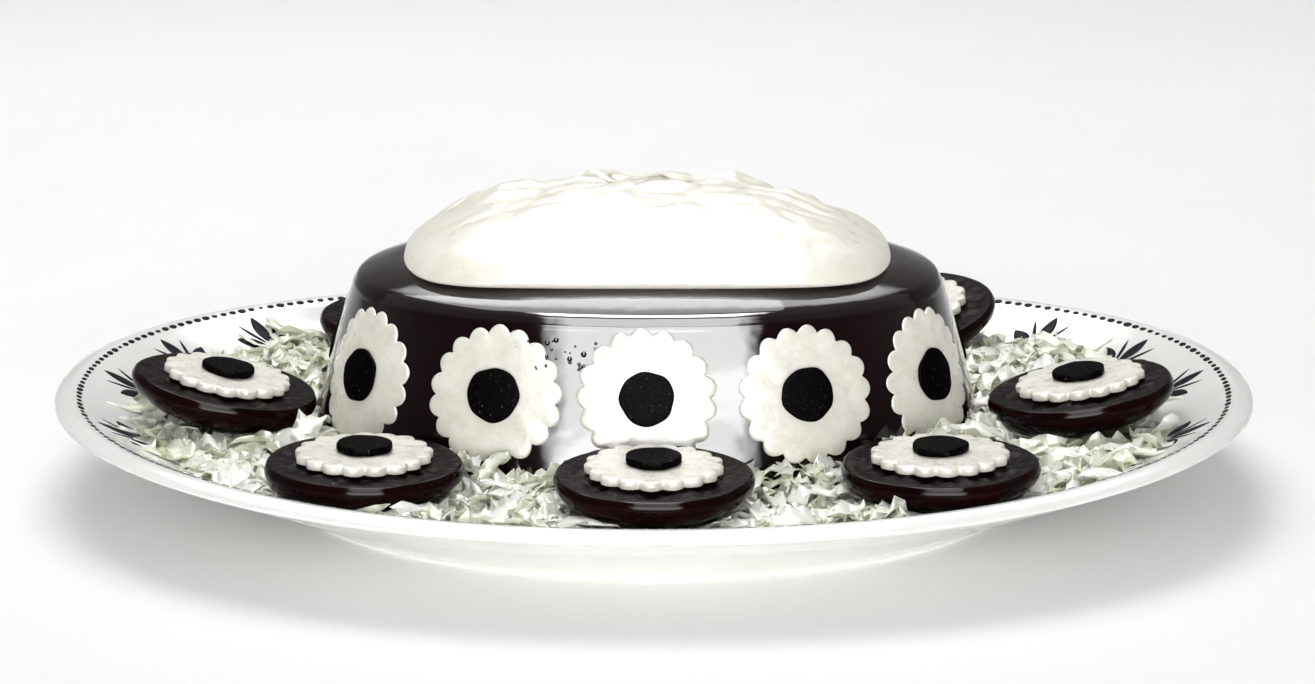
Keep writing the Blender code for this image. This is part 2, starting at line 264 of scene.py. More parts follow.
def add_node(tree: bpy.types.NodeTree, kind: str, settings: dict | None = None,
             links: dict | None = None) -> bpy.types.Node:
    """Adds a node, sets it and joins its inputs.

    Args:
        tree: the material's node tree.
        kind: the node's type.
        settings: values by property name, or by the name or number of an input;
            "stops" holds a colour ramp's pairs of position and hex colour or grey.
        links: output sockets by the name or number of the input they join.

    Returns:
        The node.
    """
    node = tree.nodes.new(kind)
    for key, value in (settings or {}).items():
        if key == "stops":
            ramp = node.color_ramp.elements
            for k, (place, colour) in enumerate(value):
                stop = ramp[k] if k < 2 else ramp.new(place)
                stop.position = place
                stop.color = linear(colour) if isinstance(colour, str) else (*[colour] * 3, 1)
        elif isinstance(key, int) or key in node.inputs:
            node.inputs[key].default_value = value
        else:
            setattr(node, key, value)
    for key, socket in (links or {}).items():
        tree.links.new(socket, node.inputs[key])
    return node


class Relief(Enum):
    """What kind of grain a surface has."""

    CLOUDY = "ShaderNodeTexNoise"
    CELLS = "ShaderNodeTexVoronoi"


@dataclass(frozen=True)
class Finish:
    """One moist or glazed surface: patches of colour, wandering gloss and fine relief."""

    name: str
    stops: tuple[tuple[float, str], ...]     # ramp over the patches: place, sRGB colour
    patch: float                             # size of the patches, mm
    gloss: tuple[float, float]               # roughness, lowest and highest
    grain: float                             # size of the relief's grain, mm
    depth: float                             # depth of the relief, mm
    relief: Relief = Relief.CLOUDY
    ior: float = 1.45
    coat: float = 0.0
    coat_roughness: float = 0.05
    subsurface: float = 0.0
    reach: tuple[float, float, float] = (1.0, 0.4, 0.2)   # depth light travels, mm
    detail: float = 5.0

    def coordinates(self, tree: bpy.types.NodeTree) -> bpy.types.NodeSocket:
        """Where the pattern is read: the piece's own place."""
        return add_node(tree, "ShaderNodeTexCoord").outputs["Object"]

    def colour(self, tree: bpy.types.NodeTree,
               place: bpy.types.NodeSocket) -> bpy.types.NodeSocket:
        """The colour over the surface.

        Args:
            tree: the node tree.
            place: the coordinates.

        Returns:
            The socket that carries the colour.
        """
        noise = add_node(tree, "ShaderNodeTexNoise",
                         {"Scale": 1 / (self.patch * MM), "Detail": self.detail,
                          "Roughness": 0.6}, {"Vector": place})
        return add_node(tree, "ShaderNodeValToRGB", {"stops": self.stops},
                        {"Fac": noise.outputs["Fac"]}).outputs["Color"]

    def material(self) -> bpy.types.Material:
        """Builds the material, once for each finish.

        Returns:
            The material.
        """
        known = bpy.data.materials.get(self.name)
        if known:
            return known
        material = bpy.data.materials.new(self.name)
        material.use_nodes = True
        tree = material.node_tree
        shader = tree.nodes["Principled BSDF"]
        shader.inputs["IOR"].default_value = self.ior
        shader.inputs["Coat Weight"].default_value = self.coat
        shader.inputs["Coat Roughness"].default_value = self.coat_roughness
        shader.inputs["Subsurface Weight"].default_value = self.subsurface
        shader.inputs["Subsurface Radius"].default_value = self.reach
        shader.inputs["Subsurface Scale"].default_value = MM
        place = self.coordinates(tree)
        tree.links.new(self.colour(tree, place), shader.inputs["Base Color"])
        wander = add_node(tree, "ShaderNodeTexNoise",
                          {"Scale": 1 / (self.patch * 0.6 * MM), "Detail": 3.0},
                          {"Vector": place})
        gloss = add_node(tree, "ShaderNodeMapRange",
                         {"From Min": 0.3, "From Max": 0.7, "To Min": self.gloss[0],
                          "To Max": self.gloss[1]}, {"Value": wander.outputs["Fac"]})
        tree.links.new(gloss.outputs["Result"], shader.inputs["Roughness"])
        grain = add_node(tree, self.relief.value, {"Scale": 1 / (self.grain * MM)},
                         {"Vector": place})
        bump = add_node(tree, "ShaderNodeBump", {"Strength": 1.0, "Distance": self.depth * MM},
                        {"Height": grain.outputs[0]})
        tree.links.new(bump.outputs["Normal"], shader.inputs["Normal"])
        return material


@dataclass(frozen=True)
class ToneAndShadeFinish(Finish):
    """A finish whose point attribute holds a tone (random on lettuce, painted shade in the mayonnaise's
    crease valleys) and its nearness to an edge.
    """

    def colour(self, tree: bpy.types.NodeTree,
               place: bpy.types.NodeSocket) -> bpy.types.NodeSocket:
        """From the first stop to the last by tone, painted crease shade, edge and a fine mottling.

        Args:
            tree: the node tree.
            place: the coordinates.

        Returns:
            The socket that carries the colour.
        """
        tone_and_shade = add_node(tree, "ShaderNodeAttribute", {"attribute_name": "tone_and_shade"})
        parts = add_node(tree, "ShaderNodeSeparateXYZ", {}, {"Vector": tone_and_shade.outputs["Vector"]})
        noise = add_node(tree, "ShaderNodeTexNoise", {"Scale": 1 / (self.patch * MM),
                                                      "Detail": self.detail},
                         {"Vector": place})
        mottled = add_node(tree, "ShaderNodeMath", {"operation": "MULTIPLY_ADD", 1: 0.5},
                           {0: noise.outputs["Fac"], 2: parts.outputs["X"]})
        spread = add_node(tree, "ShaderNodeMath", {"operation": "MULTIPLY_ADD", 1: 0.3},
                           {0: parts.outputs["Y"], 2: mottled.outputs[0]})
        return add_node(tree, "ShaderNodeValToRGB", {"stops": self.stops},
                        {"Fac": spread.outputs[0]}).outputs["Color"]


@dataclass(frozen=True)
class CutTomatoFinish(Finish):
    """Cut tomato: the point attribute "cut" holds radius share, and angle as cos and sin."""

    def colour(self, tree: bpy.types.NodeTree,
               place: bpy.types.NodeSocket) -> bpy.types.NodeSocket:
        """Dense wall at the rim, wet seed pockets further in, mottled all over.

        Args:
            tree: the node tree.
            place: the coordinates.

        Returns:
            The socket that carries the colour.
        """
        cut = add_node(tree, "ShaderNodeAttribute", {"attribute_name": "cut"})
        parts = add_node(tree, "ShaderNodeSeparateXYZ", {}, {"Vector": cut.outputs["Vector"]})
        noise = add_node(tree, "ShaderNodeTexNoise", {"Scale": 1 / (self.patch * MM),
                                                      "Detail": 6.0, "Roughness": 0.7},
                         {"Vector": place})
        seeds = add_node(tree, "ShaderNodeTexVoronoi", {"Scale": 1 / (3.5 * MM)},
                         {"Vector": place})
        mixed = add_node(tree, "ShaderNodeMath", {"operation": "MULTIPLY_ADD", 1: -0.35},
                         {0: seeds.outputs["Distance"], 2: noise.outputs["Fac"]})
        ringed = add_node(tree, "ShaderNodeMath", {"operation": "MULTIPLY_ADD", 1: 0.25},
                          {0: parts.outputs["X"], 2: mixed.outputs[0]})
        return add_node(tree, "ShaderNodeValToRGB", {"stops": self.stops},
                        {"Fac": ringed.outputs[0]}).outputs["Color"]


# Tin-glazed earthenware, dipped and fired: a hard even shine on a barely uneven white.
GLAZE = Finish("white_glazed_earthenware", ((0.3, "#F4F3EE"), (0.7, "#FAF9F6")), 34.0,
               (0.10, 0.20), 16.0, 0.05, ior=1.5, coat=0.3, coat_roughness=0.06)
# Transfer print under the glaze: cobalt gone nearly black, a little worn and uneven.
PRINT = Finish("underglaze_print", ((0.35, "#040509"), (0.8, "#1B2030")), 1.6, (0.3, 0.42),
               2.0, 0.02, ior=1.1)
# Strong meat aspic set in a tin mould: dark garnet, wet and mirror-smooth.
ASPIC = Finish("garnet_aspic", ((0.3, "#0E0406"), (0.7, "#190708")), 22.0, (0.04, 0.09), 15.0,
               0.22, ior=1.38)
# Stiff mayonnaise spread with a knife: warm white, satin, with fine drag marks; its two darker stops are
# painted shade in the valleys of its creases.
MAYONNAISE = ToneAndShadeFinish("mayonnaise_cream", ((0.2, "#F4F0E4"), (0.42, "#EAE4D4"),
                                              (0.75, "#8E8672"), (1.1, "#4E493B")), 9.0,
                         (0.26, 0.42), 3.5, 0.25, ior=1.45, subsurface=0.05,
                         reach=(1.0, 0.8, 0.5))
# Poached egg white cut with a fluted cutter: ivory, moist, slightly see-through at the edge.
EGG_WHITE = Finish("cut_egg_white", ((0.3, "#E6E2D4"), (0.65, "#F5F2E8")), 7.0, (0.22, 0.38),
                   2.2, 0.12, ior=1.4, subsurface=0.2, reach=(2.2, 1.9, 1.4))
# Sliced truffle: black flesh with a moist grain; its rare pale flecks are partly fine paler veins and
# partly painted glints.
TRUFFLE = Finish("sliced_truffle", ((0.5, "#040303"), (0.64, "#0B0909"), (0.72, "#51483F")),
                 1.2, (0.35, 0.6), 1.2, 0.10, ior=1.05)
# Ripe tomato skin: deep red gone nearly black, tight and glossy.
TOMATO_SKIN = Finish("ripe_tomato_skin", ((0.3, "#0D0303"), (0.75, "#1C0605")), 12.0,
                     (0.06, 0.12), 2.5, 0.04, ior=1.13)
# Cut tomato flesh: wet, mottled, with seed pockets of a few millimetres.
TOMATO_FLESH = CutTomatoFinish("cut_tomato_flesh",
                               ((0.4, "#050101"), (0.72, "#140504"), (1.0, "#4A2E26")), 2.6,
                               (0.25, 0.5), 1.8, 0.30, ior=1.1)
# Shredded lettuce heart: pale ribs, greener torn edges, a waxy light shine.
LETTUCE = ToneAndShadeFinish("shredded_lettuce", ((0.4, "#FBFBF1"), (0.8, "#EDF0DA"),
                                           (1.05, "#BFCB9E")), 6.0, (0.3, 0.5), 1.8, 0.25,
                     ior=1.4, subsurface=0.1, reach=(0.8, 1.2, 0.4))
# The underside of the heap, where leaves lie in each other's shade.
LETTUCE_SHADE = Finish("lettuce_in_shade", ((0.3, "#8A9668"), (0.7, "#D3DBB4")), 4.0,
                       (0.35, 0.6), 3.0, 1.2, ior=1.42)
BACKDROP = Finish("pale_paper_backdrop", ((0.3, "#EBEBEA"), (0.7, "#EFEFEE")), 300.0,
                  (0.85, 0.95), 3.0, 0.02)


# ---- platter ----

@dataclass
class Platter:
    """The oval dish: its section carried round a superellipse, with a printed edge."""

    end_rise: float = 5.9            # the ends of the rim stand this much higher
    # Inset at the ends, inset at the sides, height at the sides, share of the end rise.
    section: list = field(default_factory=lambda: [
        (83.5, 60.0, 9.6, 0.0), (70.0, 44.0, 10.4, 0.0), (53.0, 34.0, 12.8, 0.15),
        (38.0, 25.0, 17.3, 0.45), (22.0, 16.0, 22.5, 0.8), (8.1, 8.1, 28.0, 1.0),
        (3.4, 3.4, 28.1, 1.0), (0.0, 0.0, 26.3, 1.0), (1.8, 1.8, 24.6, 1.0),
        (37.0, 22.0, 14.2, 0.5), (72.0, 38.8, 2.8, 0.0), (75.0, 41.3, 0.0, 0.0),
        (80.0, 46.3, 0.0, 0.0), (82.5, 48.8, 3.2, 0.0)])
    upper_rows: int = 7              # rows of the section that face upwards
    around: int = 320
    bead_inset: float = 8.1          # the printed line, inside the edge
    bead_pitch: float = 4.2
    bead_half_length: float = 1.5
    bead_half_width: float = 0.95
    print_lift: float = 0.12         # so that the print shows above the glaze
    # Fans of petals round the rim: where they stand, in degrees of the oval's parameter.
    fan_places: tuple[float, ...] = (-42.0, -17.0, 5.0, 22.0, 39.0, 64.0, 116.0, 141.0,
                                     158.0, 175.0, 197.0, 222.0)
    fan_inset: float = 27.0
    print_sunk: float = 0.3          # how far the print reaches down into the glaze
    fan_half: int = 2
    fan_step: float = 31.0           # degrees between petals
    petal_length: float = 13.0
    petal_half_width: float = 2.5

    def __post_init__(self) -> None:
        """Takes the half sizes from the frame."""
        low, high = node_box("platter")
        self.half_length, self.half_width = (high - low)[:2] / 2

    def rings(self, rows: Array, angle: Array) -> Array:
        """Rings of the skin: oval(L - end inset, W - side inset, a), raised by
        rise * share * (x / L)^2.

        Args:
            rows: rows of the section.
            angle: parameter angles.

        Returns:
            Points by row, angle and axis.
        """
        end, side, height, share = (rows[:, k, None] for k in range(4))
        flat = oval(self.half_length - np.maximum(end, 0.0),
                    self.half_width - np.maximum(side, 0.0), angle[None])
        rise = self.end_rise * share * (flat[..., 0] / self.half_length) ** 2
        return np.dstack([flat, np.maximum(height + rise, 0.0)])

    def height(self, x: Array, y: Array) -> Array:
        """Height of the upper face at points in plan.

        Each row's oval reaches a point where (|x|/L)^n + (|y|/W)^n = 1; the height is
        interpolated between the last oval that leaves the point out and the next.

        Args:
            x: along the dish, in millimetres.
            y: across it.

        Returns:
            The height at each point.
        """
        rows = smooth_rows(self.section[:self.upper_rows], 6)
        reach = ((np.abs(x)[..., None] / (self.half_length - rows[:, 0])) ** ROUNDNESS
                 + (np.abs(y)[..., None] / (self.half_width - rows[:, 1])) ** ROUNDNESS)
        after = np.clip((reach > 1.0).sum(-1), 1, len(rows) - 1)
        outer = np.take_along_axis(reach, after[..., None], -1)[..., 0]
        inner = np.take_along_axis(reach, after[..., None] - 1, -1)[..., 0]
        share = np.clip((inner - 1.0) / np.maximum(inner - outer, 1e-9), 0.0, 1.0)
        level = rows[after - 1, 2] + share * (rows[after, 2] - rows[after - 1, 2])
        lift = rows[after - 1, 3] + share * (rows[after, 3] - rows[after - 1, 3])
        return level + self.end_rise * lift * (x / self.half_length) ** 2

    def on_face(self, x: Array, y: Array) -> Array:
        """Points just above the upper face."""
        return np.stack([x, y, self.height(x, y) + self.print_lift], -1)

    def build_dish(self) -> None:
        """Builds the glazed dish."""
        angle = even_angles(self.half_length, self.half_width, self.around)
        rows = smooth_rows(self.section, 5)
        points, faces = closed_loft(self.rings(rows, angle)[::-1])
        make_piece("glazed_platter", (points, faces, {}, None), [GLAZE.material()],
                   ("platter",))

    def build_beading(self) -> None:
        """Prints the line of beads: flat ovals, each turned along the edge."""
        half_length, half_width = (self.half_length - self.bead_inset,
                                   self.half_width - self.bead_inset)
        around = even_angles(half_length, half_width, 2000)
        edge = np.linalg.norm(np.diff(oval(half_length, half_width, around), axis=0),
                              axis=1).sum()
        count = int(edge / self.bead_pitch)
        angle = even_angles(half_length, half_width, count)
        middle = oval(half_length, half_width, angle)
        along = np.roll(middle, -1, 0) - np.roll(middle, 1, 0)
        along /= np.linalg.norm(along, axis=1, keepdims=True)
        across = np.stack([along[:, 1], -along[:, 0]], -1)
        turn = np.linspace(0, 2 * math.pi, 8, endpoint=False)
        share = np.concatenate([np.repeat([1.0, 1.0, 0.55], 8), [0.0, 0.0]])
        turn = np.concatenate([np.tile(turn, 3), [0.0, 0.0]])
        rng = np.random.default_rng(4)
        size = share * (1.0 + 0.12 * rng.standard_normal((count, 1)))
        u = self.bead_half_length * size * np.cos(turn)
        v = self.bead_half_width * size * np.sin(turn)
        flat = (middle[:, None] + u[..., None] * along[:, None] + v[..., None] * across[:, None])
        lens = self.on_face(flat[..., 0], flat[..., 1])
        lens[:, [0, 1, 2, 3, 4, 5, 6, 7, 24], 2] -= self.print_sunk
        points, faces = repeated(lens, button_faces(3, 8)[:, ::-1])
        make_piece("platter_beading", (points, faces.tolist(), {}, None), [PRINT.material()])

    def build_sprays(self) -> None:
        """Prints the fans of petals: each petal is a lens 2 w sin(pi s)^0.8 wide.

        Every second petal is a thin stroke.  The fans stand round the rim with
        their petals towards the edge.
        """
        length, width, turn = [], [], []
        for k in range(-self.fan_half, self.fan_half + 1):
            turn.append(math.radians(self.fan_step * k))
            length.append(self.petal_length * (1.0 - 0.05 * abs(k)))
            width.append(self.petal_half_width * (1.0 if k % 2 == 0 else 0.28))
        length, width, turn = (np.array(v)[None, :, None, None] for v in (length, width, turn))
        place = np.radians(np.array(self.fan_places))
        inset = self.fan_inset
        middle = oval(self.half_length - inset, self.half_width - inset, place)
        ahead = oval(self.half_length - inset, self.half_width - inset, place + 0.01)
        along = (ahead - middle) / np.linalg.norm(ahead - middle, axis=1, keepdims=True)
        out = np.stack([along[:, 1], -along[:, 0]], -1)
        s = np.linspace(0.0, 1.0, 13)[None, None, :, None]
        t = np.linspace(-1.0, 1.0, 5)[None, None, None, :]
        reach = 2.5 + length * s
        across = t * width * np.sin(math.pi * np.clip(s, 0.004, 0.996)) ** 0.8
        u = reach * np.sin(turn) + across * np.cos(turn)
        v = reach * np.cos(turn) - across * np.sin(turn)
        flat = (middle[:, None, None, None] + u[..., None] * along[:, None, None, None]
                + v[..., None] * out[:, None, None, None])
        petals = self.on_face(flat[..., 0], flat[..., 1])
        under = petals[..., ::-1, :] - [0.0, 0.0, self.print_sunk]
        loops = np.concatenate([petals, under], -2).reshape(-1, 13 * 10, 3)
        points, faces = repeated(loops, strip_faces(13, 5))
        make_piece("platter_sprays", (points, faces.tolist(), {}, None), [PRINT.material()])


# ---- jelly ----

@dataclass
class Jelly:
    """The turned-out jelly: a leaning wall, a rounded shoulder and a flat top."""

    draft: float = 0.28              # inward lean of the wall for each unit of height
    wall_top: float = 66.8
    middle_height: float = 46.6
    # Shoulder: inset from the wall's top edge, height.
    crown: list = field(default_factory=lambda: [
        (0.0, 66.8), (1.1, 70.0), (4.2, 72.9), (15.4, 76.4), (24.0, 76.4)])
    wobble: float = 0.18             # unevenness of the wall
    wall_rows: int = 40
    around: int = 420
    bubble_places: tuple[float, ...] = (0.952, 0.30, 0.41, 0.67)
    bubbles: int = 26                # in each crowd

    def __post_init__(self) -> None:
        """Takes the base oval and its place from the frame."""
        low, high = node_box("jelly")
        self.shift = float(low[0] + high[0]) / 2
        self.base = float(low[2])
        self.half_length, self.half_width = (high - low)[:2] / 2
        middle = self.halves(self.middle_height)
        self.angle = even_angles(*middle, 1440)
        self.trace = oval(*middle, np.append(self.angle, self.angle[0]))
        self.edge = np.linalg.norm(np.diff(self.trace, axis=0), axis=1).sum()

    def halves(self, height: float) -> tuple[float, float]:
        """Half length and half width of the wall at a height: base halves - draft * rise."""
        lean = self.draft * (height - self.base)
        return self.half_length - lean, self.half_width - lean

    def on_wall(self, start: float, height: float, u: Array, v: Array, proud: Array) -> Array:
        """Points of a flat sheet wrapped round the wall.

        The point is the middle-height oval at start + u / edge, moved in by
        draft * (h - middle) and out by proud along the wall's normal, where
        h = height + v / sqrt(1 + draft^2).

        Args:
            start: the sheet's middle, as a share of the way round from the front.
            height: the height of its middle.
            u: along the wall.
            v: up the wall.
            proud: off the wall.

        Returns:
            The points.
        """
        step = np.mod(start + u / self.edge, 1.0) * 1440
        grid = np.arange(1441)
        here = np.stack([np.interp(step, grid, self.trace[:, k]) for k in (0, 1)], -1)
        tangent = np.roll(self.trace[:-1], -4, 0) - np.roll(self.trace[:-1], 4, 0)
        tangent = np.vstack([tangent, tangent[:1]])
        along = np.stack([np.interp(step, grid, tangent[:, k]) for k in (0, 1)], -1)
        along /= np.linalg.norm(along, axis=-1, keepdims=True)
        out = np.stack([along[..., 1], -along[..., 0]], -1)
        level = height + v / math.hypot(1.0, self.draft)
        foot = here - out * (self.draft * (level - self.middle_height))[..., None]
        normal = np.concatenate([out, np.full_like(out[..., :1], self.draft)], -1)
        normal /= math.hypot(1.0, self.draft)
        spot = np.concatenate([foot, level[..., None]], -1) + normal * proud[..., None]
        return spot + [self.shift, 0.0, 0.0]

    def build(self) -> None:
        """Builds the jelly as one glossy body."""
        angle = even_angles(*self.halves(self.middle_height), self.around)
        height = np.linspace(self.base, self.wall_top, self.wall_rows)
        lean = self.draft * (height - self.base)
        top_length, top_width = self.halves(self.wall_top)
        crown = smooth_rows(self.crown, 8)
        half_length = np.concatenate([self.half_length - lean, top_length - crown[1:, 0]])
        half_width = np.concatenate([self.half_width - lean, top_width - crown[1:, 0]])
        level = np.concatenate([height, crown[1:, 1]])
        flat = oval(half_length[:, None], half_width[:, None], angle[None])
        rings = np.dstack([flat, np.broadcast_to(level[:, None], flat.shape[:2])])
        along = angle[None] * 95.0
        dent = self.wobble * (waves(along, rings[..., 2], 46.0, 12) - 1.0)
        inward = rings[..., :2] / np.linalg.norm(rings[..., :2], axis=-1, keepdims=True)
        rings[..., :2] += inward * dent[..., None]
        rings[..., 0] += self.shift
        points, faces = closed_loft(rings)
        make_piece("aspic_jelly", (points, faces, {}, None), [ASPIC.material()],
                   ("jelly",))

    def build_bubbles(self) -> None:
        """Lets small air bubbles stand under the shoulder, in a few loose crowds.

        Each is a dome r sin(t) about the wall's normal, sunk by a third.
        """
        rng = np.random.default_rng(31)
        starts = np.repeat(np.array(self.bubble_places), self.bubbles)
        count = len(starts)
        u0 = rng.normal(0.0, 9.0, count)
        v0 = rng.uniform(9.0, 19.0, count)
        size = rng.uniform(0.25, 0.95, count) ** 1.5 + 0.15
        turn = np.linspace(0, 2 * math.pi, 8, endpoint=False)
        turn = np.concatenate([np.tile(turn, 3), [0.0, 0.0]])
        tilt = np.concatenate([np.repeat([1.57, 1.0, 0.5], 8), [0.0, 0.0]])
        up = np.cos(tilt) - 0.35
        up[-2] = -0.35
        across = np.sin(tilt) * size[:, None]
        u = u0[:, None] + across * np.cos(turn)
        v = v0[:, None] + across * np.sin(turn)
        proud = up * size[:, None]
        spots = np.stack([self.on_wall(starts[k], self.middle_height, u[k:k + 1], v[k:k + 1],
                                       proud[k:k + 1]) for k in range(count)])
        points, faces = repeated(spots.reshape(count, -1, 3), button_faces(3, 8))
        make_piece("aspic_bubbles", (points, faces.tolist(), {}, None), [ASPIC.material()],
                   ())


# ---- slices and rounds ----

@dataclass
class FlutedSlice:
    """A slice stamped out with a fluted cutter, and the round that lies on it."""

    radius: float
    petals: int = 17
    flute: float = 0.115             # depth of the flutes, as a share of the radius
    thickness: float = 3.0
    edge: float = 0.45               # rounding of the cut edge

    def reach(self, angle: Array, seed: int) -> Array:
        """Radius at an angle: R (1 - f + f |sin(n a / 2)|^0.7), a little uneven.

        Args:
            angle: polar angle.
            seed: fixes the unevenness.

        Returns:
            The radius.
        """
        rng = np.random.default_rng(seed)
        phase = rng.uniform(0, 2 * math.pi, 3)
        uneven = (0.012 * np.sin(2 * angle + phase[0]) + 0.008 * np.sin(3 * angle + phase[1])
                  + 0.007 * np.sin(7 * angle + phase[2]))
        crest = np.abs(np.sin(self.petals * angle / 2 + phase[0])) ** 0.7
        return self.radius * (1.0 - self.flute + self.flute * crest + uneven - 0.012)

    def sheet(self, seed: int, back: float, front: float) -> tuple[Array, Array, Array, Array]:
        """Flat u, v and height of the slice, from the middle of its back to its front.

        Args:
            seed: fixes the unevenness.
            back: height of the back face.
            front: height of the front face.

        Returns:
            u, v and height by row and column, and the columns' angles.
        """
        angle = np.linspace(0, 2 * math.pi, self.petals * 12, endpoint=False)
        reach = self.reach(angle, seed)
        share = np.array([0.3, 0.94, 1.0, 1.0, 1.0, 0.985, 0.95, 0.85, 0.7, 0.5, 0.3, 0.1])
        inset = np.array([0, 0, 0, 0, 0.0, 0.3, 0.6, 0.8, 0.9, 1, 1, 1]) * 0.0
        drop = np.array([1, 1, 0.85, 0.5, 0.2, 0.06, 0.0, 0, 0, 0, 0, 0])
        height = front + (back - front) * drop
        across = share[:, None] * reach[None] - inset[:, None]
        rise = np.broadcast_to(height[:, None], across.shape)
        return across * np.cos(angle), across * np.sin(angle), rise, angle


def round_sheet(radius: float, seed: int, back: float, front: float,
                edge: float = 0.5) -> tuple[Array, Array, Array]:
    """Flat u, v and height of a hand-cut round, a little angular and domed.

    r = R (1 + 0.03 sin(3a + p) + 0.02 sin(5a + q)), rounded at its edge.

    Args:
        radius: the round's radius.
        seed: fixes its outline.
        back: height of the back face.
        front: height of the front face.
        edge: rounding of the edge.

    Returns:
        u, v and height by row and column.
    """
    angle = np.linspace(0, 2 * math.pi, 72, endpoint=False)
    phase = np.random.default_rng(seed).uniform(0, 2 * math.pi, 3)
    reach = radius * (0.985 + 0.02 * np.sin(3 * angle + phase[0])
                      + 0.015 * np.sin(5 * angle + phase[1])
                      + 0.01 * np.sin(8 * angle + phase[2]))
    turn = np.linspace(-math.pi / 2, math.pi / 2, 9)
    half = (front - back) / 2
    soft = min(edge, half)
    rim = np.concatenate([[0.4, 0.8], 1 - soft / radius * (1 - np.cos(turn)), [0.85, 0.6, 0.3, 0.08]])
    height = np.concatenate([[back, back],
                             back + half + np.sin(turn) * soft + np.sign(np.round(turn, 6)) * (half - soft),
                             [front + 0.05, front + 0.12, front + 0.16, front + 0.17]])
    across = rim[:, None] * reach[None]
    rise = np.broadcast_to(height[:, None], across.shape)
    return across * np.cos(angle), across * np.sin(angle), rise


@dataclass
class WallSlices:
    """The fluted slices with black rounds, set into the jelly's wall."""

    jelly: Jelly
    slice: FlutedSlice = field(default_factory=lambda: FlutedSlice(23.1))
    height: float = 47.2
    droop: float = 3.0               # the slices at the ends of the oval sit lower
    proud: float = 0.4
    nudged: int = 11
    nudge: float = 2.4
    round_radius: float = 8.9
    round_thickness: float = 1.2

    def build(self) -> None:
        """Builds each slice and its round."""
        half_length = self.jelly.halves(self.height)[0]
        for number in range(1, WALL_SLICES + 1):
            start = (number - 1) / WALL_SLICES
            if number == self.nudged:
                start += self.nudge / self.jelly.edge
            x = np.interp(start * 1440, np.arange(1441), self.jelly.trace[:, 0])
            height = self.height - self.droop * (x / half_length) ** 2
            u, v, rise, _ = self.slice.sheet(number, self.proud - self.slice.thickness,
                                             self.proud)
            rings = self.jelly.on_wall(start, height, u, v,
                                       rise + 0.1 * waves(u, v, 9.0, number) * (rise > 0))
            points, faces = closed_loft(rings)
            make_piece(f"fluted_wall_slice_{number}", (points, faces, {}, None),
                       [EGG_WHITE.material()], (f"wall_slice_{number}",))
            back = self.proud + 0.05
            u, v, rise = round_sheet(self.round_radius, 40 + number, back,
                                     back + self.round_thickness)
            rings = self.jelly.on_wall(start, height, u, v, rise)
            points, faces = closed_loft(rings)
            make_piece(f"truffle_wall_round_{number}", (points, faces, {}, None),
                       [TRUFFLE.material()], (f"wall_round_{number}",))


# ---- cream ----

